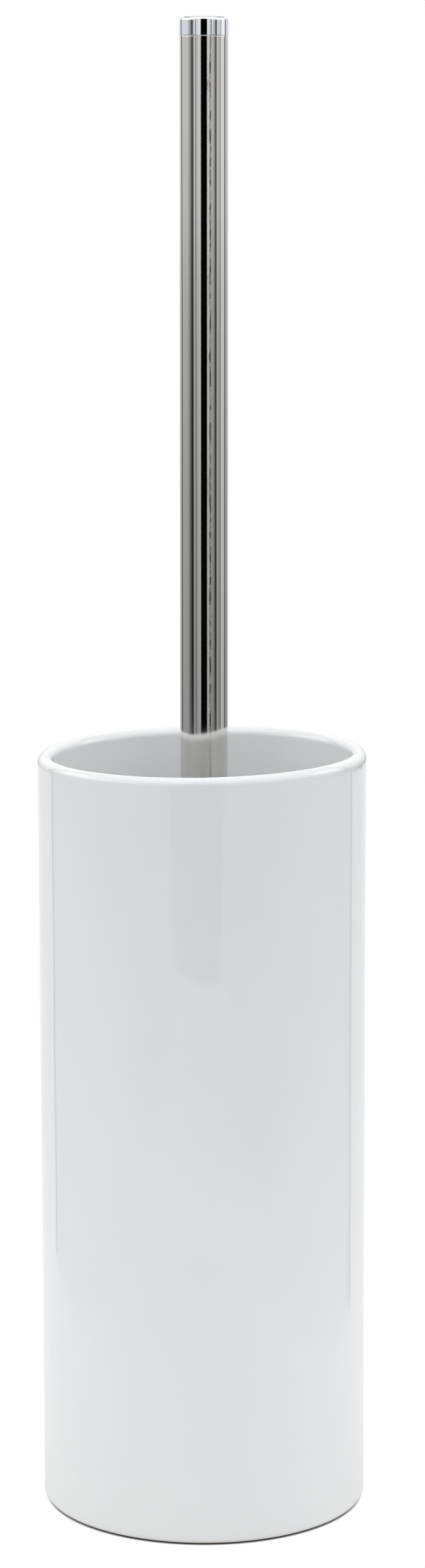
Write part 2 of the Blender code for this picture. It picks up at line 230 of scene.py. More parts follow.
def screw_rod(name, crest, root, low, high, datum, steps=COARSE):
    """A right-hand screw thread about the axis with rounded crests, cut flat at both ends."""
    crest_flat, root_flat = THREAD_PITCH / 8, THREAD_PITCH / 4
    flank = (THREAD_PITCH - crest_flat - root_flat) / 2
    ease = 0.12
    shoulder = root + (crest - root) * (1 - ease * 1.3)
    section = [
        (0.0, root),
        (flank * (1 - ease), shoulder),
        (flank + crest_flat * 0.15, crest),
        (flank + crest_flat * 0.85, crest),
        (flank + crest_flat + flank * ease, shoulder),
        (2 * flank + crest_flat, root),
        (THREAD_PITCH, root),
    ]
    first = math.floor((low - datum) / THREAD_PITCH) - 1
    turns = math.ceil((high - datum) / THREAD_PITCH) + 1 - first
    mesh = bpy.data.meshes.new(name)
    points = [(r, 0, datum + first * THREAD_PITCH + h) for h, r in section]
    mesh.from_pydata(points, [(i, i + 1) for i in range(len(points) - 1)], [])
    obj = bpy.data.objects.new(name, mesh)
    bpy.context.scene.collection.objects.link(obj)
    screw = obj.modifiers.new("thread", "SCREW")
    screw.axis = "Z"
    screw.steps = screw.render_steps = steps
    screw.iterations = turns
    screw.screw_offset = THREAD_PITCH
    screw.use_merge_vertices = True
    screw.merge_threshold = ON_AXIS
    rod = evaluated_mesh(obj)
    bpy.data.objects.remove(obj)
    body = bmesh.new()
    body.from_mesh(rod)
    bmesh.ops.remove_doubles(body, verts=body.verts, dist=ON_AXIS)
    for height, up in ((low, -1), (high, 1)):
        parts = body.verts[:] + body.edges[:] + body.faces[:]
        plane = {"plane_co": (0, 0, height), "plane_no": (0, 0, up)}
        cut = bmesh.ops.bisect_plane(body, geom=parts, clear_outer=True, **plane)
        rim = [item for item in cut["geom_cut"] if isinstance(item, bmesh.types.BMEdge)]
        bmesh.ops.edgeloop_fill(body, edges=rim)
    bmesh.ops.recalc_face_normals(body, faces=body.faces)
    body.to_mesh(rod)
    body.free()
    return finished(name, rod)


# ---- cup -------------------------------------------------------------------------------------------------


def slip_cast(mesh, low, high):
    """Gives the cup the small faults of casting and firing."""
    span = high - low
    for vertex in mesh.vertices:
        x, y, z = vertex.co
        up = (z - low) / span
        place = Vector((x, y, z * 0.6))
        drift = noise.noise(place * CAST_WAVES)
        drift += 0.5 * noise.noise(place * CAST_FINE_WAVES + Vector((7, 3, 5)))
        radial = Vector((x, y, 0))
        on_wall = radial.length > CAST_CALM
        out = radial.normalized() * CAST_RIPPLE * drift * min(1, up * 8) if on_wall else Vector()
        vertex.co.x = x + CAST_LEAN * up + out.x
        vertex.co.y = y + out.y
        vertex.co.z = z + RIM_TILT * (x / cup_high.x) * up ** 6


def ceramic_cup():
    outer = cup_high.x
    bore = outer - CUP_WALL
    low, top = cup_low.z, cup_high.z
    recess = outer - FOOT_RING_WIDTH
    inner_floor = low + FOOT_RECESS_DEPTH + CUP_FLOOR
    rim = CUP_WALL / 2
    profile = straight((0, inner_floor), (bore - CUP_FILLET, inner_floor), 6)
    profile += arc((bore - CUP_FILLET, inner_floor + CUP_FILLET), CUP_FILLET, -90, 0, 10)
    profile += straight((bore, inner_floor + CUP_FILLET), (bore, top - rim), 70, HOLD)[1:-1]
    profile += arc((outer - rim, top - rim), rim, 180, 0, 16)
    profile += straight((outer, top - rim), (outer, low + FOOT_ROUND), 84, HOLD)[1:-1]
    profile += arc((outer - FOOT_ROUND, low + FOOT_ROUND), FOOT_ROUND, 0, -90, 8)
    profile += [(recess + FOOT_EDGE_IN, low), (recess, low + FOOT_EDGE_UP)]
    profile += [(recess - FOOT_RECESS_DRAFT, low + FOOT_RECESS_DEPTH), (0, low + FOOT_RECESS_DEPTH)]
    cup = turned("ceramic_cup", profile, FINE)
    slip_cast(cup.data, low, top)
    return cup


def foam_ring():
    low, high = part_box("anti_slip_ring")
    outer = high.x
    inner = outer - FOOT_RING_WIDTH
    round_off = 0.3 * MM
    profile = arc((outer - round_off, high.z - round_off), round_off, 90, 0, 4)
    profile += arc((outer - round_off, low.z + round_off), round_off, 0, -90, 4)
    profile += arc((inner + round_off, low.z + round_off), round_off, 270, 180, 4)
    profile += arc((inner + round_off, high.z - round_off), round_off, 180, 90, 4)
    return turned("foam_ring", profile, MEDIUM, closed=True)


# ---- handle ----------------------------------------------------------------------------------------------


def steel_tube():
    low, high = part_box("handle_tube")
    outer = high.x
    bore = outer - TUBE_WALL
    lip = 0.08 * MM
    profile = [(bore, high.z)]
    profile += arc((outer - lip, high.z - lip), lip, 90, 0, 4)
    profile += straight((outer, high.z - lip), (outer, low.z + lip), 60, HOLD)[1:-1]
    profile += arc((outer - lip, low.z + lip), lip, 0, -90, 4)
    profile += [(bore, low.z)]
    profile += straight((bore, low.z), (bore, high.z), 12)[1:-1]
    return turned("steel_tube", profile, MEDIUM, closed=True)


def chrome_cap():
    low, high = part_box("end_cap")
    outer = high.x
    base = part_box("handle_tube")[1].z + CAP_SEAT_GAP
    plug = outer - CAP_PLUG_REACH
    hollow = plug - CAP_PLUG_WALL
    ceiling = high.z - CAP_THICKNESS
    crown_edge = outer - CAP_EDGE_ROUND
    profile = [(crown_edge * i / 8, high.z - CAP_CROWN * (i / 8) ** 2) for i in range(8)]
    profile += arc((crown_edge, high.z - CAP_CROWN - CAP_EDGE_ROUND), CAP_EDGE_ROUND, 90, 0, 10)
    side_top, side_base = high.z - CAP_CROWN - CAP_EDGE_ROUND, base + CAP_LOWER_ROUND
    profile += straight((outer, side_top), (outer, side_base), 4, HOLD)[1:-1]
    profile += arc((outer - CAP_LOWER_ROUND, side_base), CAP_LOWER_ROUND, 0, -90, 4)
    profile += [(plug, base), (plug, low.z + CAP_PLUG_LEAD), (plug - CAP_PLUG_LEAD, low.z)]
    profile += [(hollow, low.z), (hollow, ceiling), (0, ceiling)]
    return turned("chrome_cap", profile, MEDIUM)


def nylon_bush():
    low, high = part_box("tube_bush")
    flange = high.x
    sleeve = flange - BUSH_FLANGE_REACH
    bore = THREAD_CREST + GAP
    flange_top = low.z + BUSH_FLANGE_HEIGHT
    edge = 0.25 * MM

    def ribbed(radius, height, angle):
        if height > flange_top + edge and radius > bore + 0.5 * MM:
            return radius - BUSH_RIB_DEPTH * (0.5 - 0.5 * math.cos(BUSH_SLEEVE_RIBS * angle))
        return radius

    profile = [(bore, high.z), (sleeve - edge, high.z), (sleeve, high.z - edge)]
    profile += [(sleeve, flange_top + 2 * edge), (sleeve, flange_top), (flange - edge, flange_top)]
    profile += arc((flange - edge, flange_top - edge), edge, 90, 0, 3)[1:]
    profile += arc((flange - edge, low.z + edge), edge, 0, -90, 3)
    profile += [(bore + edge, low.z), (bore, low.z + edge)]
    return turned("nylon_bush", profile, MEDIUM, closed=True, radius_at=ribbed)


def zinc_stud():
    low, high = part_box("threaded_stud")
    shank_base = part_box("tube_bush")[0].z
    end = THREAD_CREST - STUD_CHAMFER
    wide = 2 * THREAD_CREST
    thread_top = shank_base + THREAD_PITCH / 2
    thread = screw_rod("thread", THREAD_CREST, THREAD_CREST - THREAD_DEPTH, low.z, thread_top, thread_datum)
    cone = [(0, high.z), (wide, high.z), (wide, low.z + wide - end), (end, low.z)]
    cone += [(end, low.z - THREAD_PITCH), (0, low.z - THREAD_PITCH)]
    thread = combined(thread, turned("tip_cone", cone, COARSE), "INTERSECT")
    profile = [(0, high.z), (end, high.z), (THREAD_CREST, high.z - STUD_CHAMFER)]
    profile += [(THREAD_CREST, shank_base - GAP), (0, shank_base - GAP)]
    return combined(turned("zinc_stud", profile, COARSE), thread, "UNION")


def rubber_washer():
    low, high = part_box("seal_washer")
    outer, inner = high.x, THREAD_CREST + GAP
    edge = 0.35 * MM
    profile = arc((outer - edge, high.z - edge), edge, 90, 0, 4)
    profile += arc((outer - edge, low.z + edge), edge, 0, -90, 4)
    profile += [(inner + edge / 2, low.z), (inner, low.z + edge / 2), (inner, high.z - edge / 2)]
    profile += [(inner + edge / 2, high.z)]
    return turned("rubber_washer", profile, MEDIUM, closed=True)


# ---- head ------------------------------------------------------------------------------------------------


def brass_nut():
    low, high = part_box("threaded_insert")
    flange, sleeve = high.x, high.x - NUT_FLANGE_REACH
    flange_base = high.z - NUT_FLANGE_HEIGHT
    edge = 0.15 * MM

    def knurled(radius, height, angle):
        if radius > sleeve - edge and height < flange_base - edge:
            return radius - NUT_KNURL_DEPTH * abs(math.sin(NUT_KNURLS / 2 * angle))
        return radius

    profile = [(0, high.z), (flange - edge, high.z), (flange, high.z - edge), (flange, flange_base)]
    profile += [(sleeve, flange_base), (sleeve, flange_base - 2 * edge), (sleeve, low.z + edge)]
    profile += [(sleeve - edge, low.z), (0, low.z)]
    nut = turned("brass_nut", profile, MEDIUM, radius_at=knurled)
    crest, root = THREAD_CREST + THREAD_PLAY, THREAD_CREST - THREAD_DEPTH + THREAD_PLAY
    tap = screw_rod("tap", crest, root, low.z - THREAD_PITCH, high.z + THREAD_PITCH, thread_datum)
    nut = combined(nut, tap, "DIFFERENCE")
    sink = crest + GAP
    cone = [(0, high.z + sink), (2 * sink, high.z + sink), (0, high.z - sink)]
    return combined(nut, turned("countersink", cone, COARSE), "DIFFERENCE")


def moulded_core():
    low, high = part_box("brush_core")
    barrel = high.x
    shoulder = high.z - NECK_HEIGHT
    barrel_top = shoulder - (barrel - NECK_RADIUS)
    insert_low, insert_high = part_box("threaded_insert")
    seat, sleeve = insert_high.x + GAP, insert_high.x - NUT_FLANGE_REACH + GAP
    seat_base = insert_high.z - NUT_FLANGE_HEIGHT - GAP
    nose = (barrel - NOSE_ROUND, low.z + NOSE_ROUND)
    ease = 0.6 * MM
    profile = [(0, low.z), (nose[0] / 2, low.z)] + arc(nose, NOSE_ROUND, -90, 0, 16)
    profile += straight((barrel, nose[1]), (barrel, barrel_top - ease), 24)[1:]
    profile += arc((barrel - ease, barrel_top - ease), ease, 0, 45, 3)[1:]
    profile += [(NECK_RADIUS + ease / 2, shoulder - ease / 2)]
    profile += arc((NECK_RADIUS + ease, shoulder + ease / 2), ease, 225, 180, 3)[1:]
    profile += straight((NECK_RADIUS, shoulder + 2 * ease), (NECK_RADIUS, high.z - NECK_ROUND), 4)
    profile += arc((NECK_RADIUS - NECK_ROUND, high.z - NECK_ROUND), NECK_ROUND, 0, 90, 6)[1:]
    profile += [(seat, high.z), (seat, seat_base), (sleeve, seat_base)]
    profile += [(sleeve, insert_low.z - GAP), (0, insert_low.z - GAP)]

    def with_parting_line(radius, height, angle):
        if radius < NECK_RADIUS - 0.1 * MM or height > high.z - NECK_ROUND:
            return radius
        offset = abs(math.sin(angle)) * radius
        return radius + PARTING_HEIGHT * max(0.0, 1 - offset / PARTING_WIDTH)

    return turned("moulded_core", profile, FINE, radius_at=with_parting_line)


# ---- bristles, by geometry nodes -------------------------------------------------------------------------


class Tree:
    """A node tree being built, with short calls for the nodes that it uses."""

    def __init__(self, tree):
        self.tree = tree

    def node(self, kind, **settings):
        made = self.tree.nodes.new(kind)
        for key, value in settings.items():
            setattr(made, key, value)
        return made

    def join(self, value, socket):
        if isinstance(value, bpy.types.NodeSocket):
            self.tree.links.new(value, socket)
        elif value is not None:
            socket.default_value = value

    def math(self, operation, *values):
        made = self.node("ShaderNodeMath", operation=operation)
        for value, socket in zip(values, made.inputs):
            self.join(value, socket)
        return made.outputs[0]

    def vector_math(self, operation, *values):
        made = self.node("ShaderNodeVectorMath", operation=operation)
        places = made.inputs[:] if operation != "SCALE" else [made.inputs["Vector"], made.inputs["Scale"]]
        for value, socket in zip(values, places):
            self.join(value, socket)
        return made.outputs["Value"] if operation in ("LENGTH", "DOT_PRODUCT") else made.outputs["Vector"]

    def combine(self, x, y, z):
        made = self.node("ShaderNodeCombineXYZ")
        for value, socket in zip((x, y, z), made.inputs):
            self.join(value, socket)
        return made.outputs[0]

    def separate(self, vector):
        made = self.node("ShaderNodeSeparateXYZ")
        self.join(vector, made.inputs[0])
        return made.outputs


def geometry_tree(name, inputs):
    """A geometry node tree with these named inputs, given as (name, socket type, value)."""
    tree = bpy.data.node_groups.new(name, "GeometryNodeTree")
    for label, kind, value in inputs:
        socket = tree.interface.new_socket(label, in_out="INPUT", socket_type=kind)
        if value is not None:
            socket.default_value = value
    tree.interface.new_socket("Geometry", in_out="OUTPUT", socket_type="NodeSocketGeometry")
    return tree


def tuft_tree():
    """Tufts round the axis. A tuft runs from a round hole about Root to a wider patch of tips about Tip."""
    number, whole, place = "NodeSocketFloat", "NodeSocketInt", "NodeSocketVector"
    inputs = [
        ("Tufts", whole, TUFTS_IN_ROW),
        ("Filaments", whole, FILAMENTS_IN_TUFT),
        ("Root", place, (0.012, 0, 0)),
        ("Root Half", place, (0, 0, 0.0016)),
        ("Tip", place, (0.037, 0, 0)),
        ("Tip Half", place, (0, 0, 0.0032)),
        ("Stagger", number, 0.0),
        ("Spread", number, 1.0),
        ("Trim Play", number, TRIM_PLAY),
        ("Thickness", number, FILAMENT_RADIUS),
        ("Seed", whole, 0),
        ("Material", "NodeSocketMaterial", None),
    ]
    tree = geometry_tree("tufts_round_axis", inputs)
    t = Tree(tree)
    given = t.node("NodeGroupInput").outputs
    index = t.node("GeometryNodeInputIndex").outputs[0]

    def chance(low, high, salt):
        made = t.node("FunctionNodeRandomValue", data_type="FLOAT")
        made.inputs[2].default_value = low
        made.inputs[3].default_value = high
        t.join(index, made.inputs["ID"])
        t.join(t.math("ADD", given["Seed"], salt), made.inputs["Seed"])
        return made.outputs[1]

    tuft = t.math("FLOOR", t.math("DIVIDE", t.math("ADD", index, 0.5), given["Filaments"]))
    share_of_turn = t.math("DIVIDE", tuft, given["Tufts"])
    turn = t.math("ADD", t.math("MULTIPLY", share_of_turn, 2 * math.pi), given["Stagger"])
    out = t.math("SQRT", chance(0.0, 1.0, 1))
    way = chance(0.0, 2 * math.pi, 2)
    across = t.math("MULTIPLY", out, t.math("COSINE", way))
    along = t.math("MULTIPLY", out, t.math("SINE", way))

    def about_axis(centre, half, side_reach, share, angle_share):
        """A point of the section, moved along by the filament's share, then turned into its tuft's place."""
        point = t.vector_math("ADD", centre, t.vector_math("SCALE", half, t.math("MULTIPLY", along, share)))
        x, y, z = t.separate(point)
        angle = t.math("ADD", turn, t.math("MULTIPLY", across, angle_share))
        side = t.math("MULTIPLY", across, side_reach)
        cos, sin = t.math("COSINE", angle), t.math("SINE", angle)
        px = t.math("SUBTRACT", t.math("MULTIPLY", x, cos), t.math("MULTIPLY", side, sin))
        py = t.math("ADD", t.math("MULTIPLY", x, sin), t.math("MULTIPLY", side, cos))
        return t.combine(px, py, z)

    half_hole = t.vector_math("LENGTH", given["Root Half"])
    filled = t.math("MULTIPLY", half_hole, TUFT_FILL)
    root = about_axis(given["Root"], given["Root Half"], filled, TUFT_FILL, 0.0)
    sector = t.math("MULTIPLY", t.math("DIVIDE", math.pi * TUFT_SPREAD, given["Tufts"]), given["Spread"])
    tip = about_axis(given["Tip"], given["Tip Half"], 0.0, 1.0, sector)
    lean = t.vector_math("SUBTRACT", tip, root)
    length = t.vector_math("LENGTH", lean)
    trimmed = t.math("SUBTRACT", length, t.math("MULTIPLY", chance(0.0, 1.0, 3), given["Trim Play"]))

    count = t.math("MULTIPLY", given["Tufts"], given["Filaments"])
    points = t.node("GeometryNodePoints")
    t.join(count, points.inputs["Count"])
    t.join(root, points.inputs["Position"])

    line = t.node("GeometryNodeCurvePrimitiveLine")
    line.inputs["End"].default_value = (0, 0, FILAMENT_SLENDERNESS)
    bent = t.node("GeometryNodeResampleCurve")
    t.join(line.outputs[0], bent.inputs["Curve"])
    bent.inputs["Count"].default_value = FILAMENT_POINTS
    share = t.node("GeometryNodeSplineParameter").outputs["Factor"]
    bow = t.math("MULTIPLY", t.math("MULTIPLY", share, share), FILAMENT_BOW)
    moved = t.node("GeometryNodeSetPosition")
    t.join(bent.outputs[0], moved.inputs["Geometry"])
    t.join(t.combine(bow, 0.0, 0.0), moved.inputs["Offset"])
    ring = t.node("GeometryNodeCurvePrimitiveCircle")
    ring.inputs["Resolution"].default_value = FILAMENT_SIDES
    ring.inputs["Radius"].default_value = 1.0
    swept = t.node("GeometryNodeCurveToMesh")
    t.join(moved.outputs[0], swept.inputs["Curve"])
    t.join(ring.outputs[0], swept.inputs["Profile Curve"])
    swept.inputs["Fill Caps"].default_value = True

    aim = t.node("FunctionNodeAlignRotationToVector", axis="Z")
    t.join(lean, aim.inputs["Vector"])
    spin = t.node("FunctionNodeAxisAngleToRotation")
    spin.inputs["Axis"].default_value = (0, 0, 1)
    t.join(chance(0.0, 2 * math.pi, 4), spin.inputs["Angle"])
    rolled = t.node("FunctionNodeRotateRotation", rotation_space="LOCAL")
    t.join(aim.outputs[0], rolled.inputs["Rotation"])
    t.join(spin.outputs[0], rolled.inputs["Rotate By"])
    thick = t.math("MULTIPLY", given["Thickness"], chance(*FILAMENT_PLAY, 5))
    set_out = t.node("GeometryNodeInstanceOnPoints")
    t.join(points.outputs[0], set_out.inputs["Points"])
    t.join(swept.outputs[0], set_out.inputs["Instance"])
    t.join(rolled.outputs[0], set_out.inputs["Rotation"])
    t.join(t.combine(thick, thick, t.math("DIVIDE", trimmed, FILAMENT_SLENDERNESS)), set_out.inputs["Scale"])
    real = t.node("GeometryNodeRealizeInstances")
    t.join(set_out.outputs[0], real.inputs[0])
    smooth = t.node("GeometryNodeSetShadeSmooth")
    t.join(real.outputs[0], smooth.inputs[0])
    painted = t.node("GeometryNodeSetMaterial")
    t.join(smooth.outputs[0], painted.inputs["Geometry"])
    t.join(given["Material"], painted.inputs["Material"])
    end = t.node("NodeGroupOutput")
    t.join(painted.outputs[0], end.inputs[0])
    return tree


def grown(name, tree, values):
    """A plain mesh object from a geometry node tree and the values of its named inputs."""
    obj = bpy.data.objects.new(name, bpy.data.meshes.new(name))
    bpy.context.scene.collection.objects.link(obj)
    nodes = obj.modifiers.new("tufts", "NODES")
    nodes.node_group = tree
    ids = {i.name: i.identifier for i in tree.interface.items_tree if i.in_out == "INPUT"}
    for label, value in values.items():
        nodes[ids[label]] = value
    mesh = evaluated_mesh(obj)
    mesh.name = name
    obj.modifiers.remove(nodes)
    obj.data = mesh
    return obj


def tuft_rows(finish):
    """Every row of tufts, as (object, CAD node)."""
    tree = tuft_tree()
    rows = []
    for index in range(1, BRISTLE_ROWS + 1):
        node = f"bristle_row_{index}"
        low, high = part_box(node)
        middle = (low.z + high.z) / 2
        values = {
            "Root": (core_high.x - TUFT_DEPTH, 0, middle),
            "Root Half": (0, 0, TUFT_HOLE / 2),
            "Tip": (high.x, 0, middle),
            "Tip Half": (0, 0, (high.z - low.z) / 2),
            "Stagger": math.pi / TUFTS_IN_ROW * (index % 2),
            "Seed": SEED_STEP * index,
            "Material": finish,
        }
        rows.append((grown(f"tufts_{index}", tree, values), node))
    nose = Vector((core_high.x - NOSE_ROUND, 0, core_low.z + NOSE_ROUND))
    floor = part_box("bristle_tip")[0].z
    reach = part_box("bristle_row_1")[1].x
    nose_rows = (
        ("nose_row_upper", NOSE_UPPER_SLOPE, reach - NOSE_UPPER_SHORTER, NOSE_UPPER_TUFTS),
        ("nose_row_lower", NOSE_LOWER_SLOPE, None, NOSE_LOWER_TUFTS),
    )
    for order, (node, slope, side, tufts) in enumerate(nose_rows):
        way = Vector((math.cos(slope), 0, math.sin(slope)))
        across = Vector((-way.z, 0, way.x))
        root = nose + way * (NOSE_ROUND - NOSE_TUFT_DEPTH)
        if side is not None:
            tip = root + way * ((side - root.x) / way.x)
        else:
            tip = root + way * ((floor + NOSE_LOWER_RISE - root.z) / way.z)
        values = {
            "Tufts": tufts,
            "Root": root,
            "Root Half": across * TUFT_HOLE / 2,
            "Tip": tip,
            "Tip Half": across * NOSE_TUFT_HALF,
            "Stagger": NOSE_STAGGER * order,
            "Seed": NOSE_SEED + SEED_STEP * order,
            "Material": finish,
        }
        rows.append((grown(node.replace("nose_row", "nose_tufts"), tree, values), node))
    low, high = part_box("bristle_tip")
    values = {
        "Tufts": TIP_TUFTS,
        "Filaments": TIP_FILAMENTS,
        "Root": (TUFT_HOLE / 2, 0, high.z + TUFT_DEPTH),
        "Root Half": (TUFT_HOLE / 2, 0, 0),
        "Tip": (high.x / 2, 0, low.z + TIP_RISE),
        "Tip Half": (high.x / 2, 0, 0),
        "Trim Play": TIP_TRIM_PLAY,
        "Seed": TIP_SEED,
        "Material": finish,
    }
    rows.append((grown("tip_tufts", tree, values), "bristle_tip"))
    return rows


# ---- effects that several finishes share -----------------------------------------------------------------


def effect(name, inputs, output):
    """A shader node group with one output. Its inputs are (name, kind, value), the kind being f, v or c."""
    tree = bpy.data.node_groups.new(name, "ShaderNodeTree")
    kinds = {"f": "NodeSocketFloat", "v": "NodeSocketVector", "c": "NodeSocketColor"}
    for label, kind, value in inputs:
        socket = tree.interface.new_socket(label, in_out="INPUT", socket_type=kinds[kind])
        socket.default_value = value
    tree.interface.new_socket(output[0], in_out="OUTPUT", socket_type=kinds[output[1]])
    t = Tree(tree)
    return t, t.node("NodeGroupInput").outputs, t.node("NodeGroupOutput").inputs


def noise_node(t, vector, scale, detail=2.0, roughness=0.5):
    made = t.node("ShaderNodeTexNoise")
    t.join(vector, made.inputs["Vector"])
    t.join(scale, made.inputs["Scale"])
    t.join(detail, made.inputs["Detail"])
    t.join(roughness, made.inputs["Roughness"])
    return made.outputs[0]


def ramp(t, value, low, high, to_low=0.0, to_high=1.0):
    """value between low and high, mapped smoothly to to_low and to_high."""
    made = t.node("ShaderNodeMapRange", interpolation_type="SMOOTHSTEP")
    for item, socket in zip((value, low, high, to_low, to_high), made.inputs):
        t.join(item, socket)
    return made.outputs[0]


def mixed(t, factor, first, second):
    made = t.node("ShaderNodeMix", data_type="RGBA")
    t.join(factor, made.inputs[0])
    t.join(first, made.inputs[6])
    t.join(second, made.inputs[7])
    return made.outputs[2]


def make_effects():
    """Each shared effect, by name."""
    effects = {}
    place = ("Vector", "v", (0, 0, 0))
    white = (1, 1, 1, 1)

    inputs = [place, ("Colour", "c", white), ("Second", "c", white)]
    inputs += [("Scale", "f", 40.0), ("Amount", "f", 0.5)]
    t, given, end = effect("colour_drift", inputs, ("Colour", "c"))
    cloud = ramp(t, noise_node(t, given["Vector"], given["Scale"], 3.0), 0.35, 0.65)
    t.join(mixed(t, t.math("MULTIPLY", cloud, given["Amount"]), given["Colour"], given["Second"]), end[0])
    effects["colour_drift"] = t.tree

    inputs = [place, ("Roughness", "f", 0.2), ("Play", "f", 0.05), ("Scale", "f", 60.0)]
    t, given, end = effect("rubbed", inputs, ("Roughness", "f"))
    smear = t.math("SUBTRACT", noise_node(t, given["Vector"], given["Scale"], 4.0, 0.6), 0.5)
    t.join(t.math("ADD", given["Roughness"], t.math("MULTIPLY", smear, given["Play"])), end[0])
    effects["rubbed"] = t.tree

    inputs = [place, ("Stretch", "v", (1, 1, 1)), ("Scale", "f", 900.0), ("Detail", "f", 2.0)]
    t, given, end = effect("grain", inputs, ("Height", "f"))
    stretched = t.vector_math("MULTIPLY", given["Vector"], given["Stretch"])
    t.join(noise_node(t, stretched, given["Scale"], given["Detail"]), end[0])
    effects["grain"] = t.tree

    inputs = [place, ("Scale", "f", 90.0), ("Size", "f", 0.05), ("Share", "f", 0.1)]
    t, given, end = effect("specks", inputs, ("Mask", "f"))
    cells = t.node("ShaderNodeTexVoronoi")
    t.join(given["Vector"], cells.inputs["Vector"])
    t.join(given["Scale"], cells.inputs["Scale"])
    near = t.math("LESS_THAN", cells.outputs["Distance"], given["Size"])
    picked = t.math("LESS_THAN", t.separate(cells.outputs["Color"])[0], given["Share"])
    t.join(t.math("MULTIPLY", near, picked), end[0])
    effects["specks"] = t.tree

    t, given, end = effect("above", [place, ("Level", "f", 0.0), ("Softness", "f", 0.001)], ("Mask", "f"))
    height = t.separate(given["Vector"])[2]
    t.join(ramp(t, height, given["Level"], t.math("ADD", given["Level"], given["Softness"])), end[0])
    effects["above"] = t.tree
    return effects


class Finish(Tree):
    """A material with a Principled shader, and calls that place the shared effects."""

    def __init__(self, name, colour, roughness, metallic=0.0):
        self.material = bpy.data.materials.new(name)
        self.material.use_nodes = True
        self.material.diffuse_color = (*colour, 1)
        super().__init__(self.material.node_tree)
        self.shader = self.tree.nodes["Principled BSDF"]
        self.place = self.node("ShaderNodeTexCoord").outputs["Object"]
        self.colour = (*colour, 1)
        self.shader.inputs["Base Color"].default_value = self.colour
        self.shader.inputs["Roughness"].default_value = roughness
        self.shader.inputs["Metallic"].default_value = metallic

    def use(self, name, **values):
        """Places a shared effect and gives back its output."""
        made = self.node("ShaderNodeGroup", node_tree=effects[name])
        self.join(self.place, made.inputs["Vector"])
        for key, value in values.items():
            self.join(value, made.inputs[key])
        return made.outputs[0]

    def set(self, name, value):
        self.join(value, self.shader.inputs[name])

    def drifted(self, second, scale, amount):
        """The colour, drifting in places towards a second one."""
        return self.use("colour_drift", Colour=self.colour, Second=(*second, 1), Scale=scale, Amount=amount)

    def mottle(self, second, scale, amount):
        self.set("Base Color", self.drifted(second, scale, amount))

    def rub(self, roughness, play, scale):
        """Lets the roughness play about its middle value."""
        self.set("Roughness", self.use("rubbed", Roughness=roughness, Play=play, Scale=scale))

    def bump(self, height, distance, strength=1.0, under=None):
        made = self.node("ShaderNodeBump")
        made.inputs["Distance"].default_value = distance
        made.inputs["Strength"].default_value = strength
        self.join(height, made.inputs["Height"])
        self.join(under, made.inputs["Normal"])
        self.join(made.outputs[0], self.shader.inputs["Normal"])
        return made.outputs[0]


# ---- finishes --------------------------------------------------------------------------------------------

GLAZE = (0.835, 0.84, 0.845)
GLAZE_SHADE = (0.82, 0.826, 0.833)
GLAZE_IOR = 1.52
ORANGE_PEEL = 0.008 * MM
IRON_SPECK = (0.30, 0.27, 0.24, 1)
# The foot's edge is bare clay up to this height
BARE_FOOT = 0.25 * MM
RAW_CLAY = (0.72, 0.69, 0.64, 1)
RAW_CLAY_ROUGHNESS = 0.6
STEEL = (0.645, 0.64, 0.62)
STEEL_SHADE = (0.62, 0.61, 0.585)
# The tube's ground weld seam, its widths in radians round the tube
SEAM_ANGLE = 15.0
SEAM_WIDTH = 0.04
SEAM_REACH = 0.10
SEAM_WANDER = 0.15
SEAM_LUMPS = 0.3
SEAM_LUMP_STRETCH = 0.03
SEAM_DEPTH = 0.05 * MM
SEAM_DARK = (0.10, 0.10, 0.095, 1)
SEAM_SOOT = 0.6
POLISH_GRAIN = 0.004 * MM
TURNING_PITCH = 0.12 * MM
TURNING_DEPTH = 0.003 * MM


def white_glaze():
    f = Finish("white_glaze", GLAZE, 0.03)
    iron = f.use("specks", Scale=70.0, Size=0.022, Share=0.05)
    speckled = mixed(f, f.math("MULTIPLY", iron, 0.55), f.drifted(GLAZE_SHADE, 28.0, 0.6), IRON_SPECK)
    glazed = f.use("above", Level=cup_low.z + BARE_FOOT, Softness=2 * BARE_FOOT)
    f.set("Base Color", mixed(f, glazed, RAW_CLAY, speckled))
    gloss = f.use("rubbed", Roughness=0.025, Play=0.02, Scale=30.0)
    bare = f.math("MULTIPLY", f.math("SUBTRACT", 1.0, glazed), RAW_CLAY_ROUGHNESS)
    f.set("Roughness", f.math("ADD", bare, gloss))
    f.shader.inputs["IOR"].default_value = GLAZE_IOR
    f.bump(f.use("grain", Scale=160.0, Detail=1.0), ORANGE_PEEL, 0.5)
    return f.material


def black_foam():
    f = Finish("black_foam", (0.018, 0.018, 0.019), 0.92)
    f.mottle((0.05, 0.05, 0.052), 900.0, 0.8)
    f.bump(f.use("grain", Scale=2200.0, Detail=3.0), 0.15 * MM, 0.8)
    return f.material


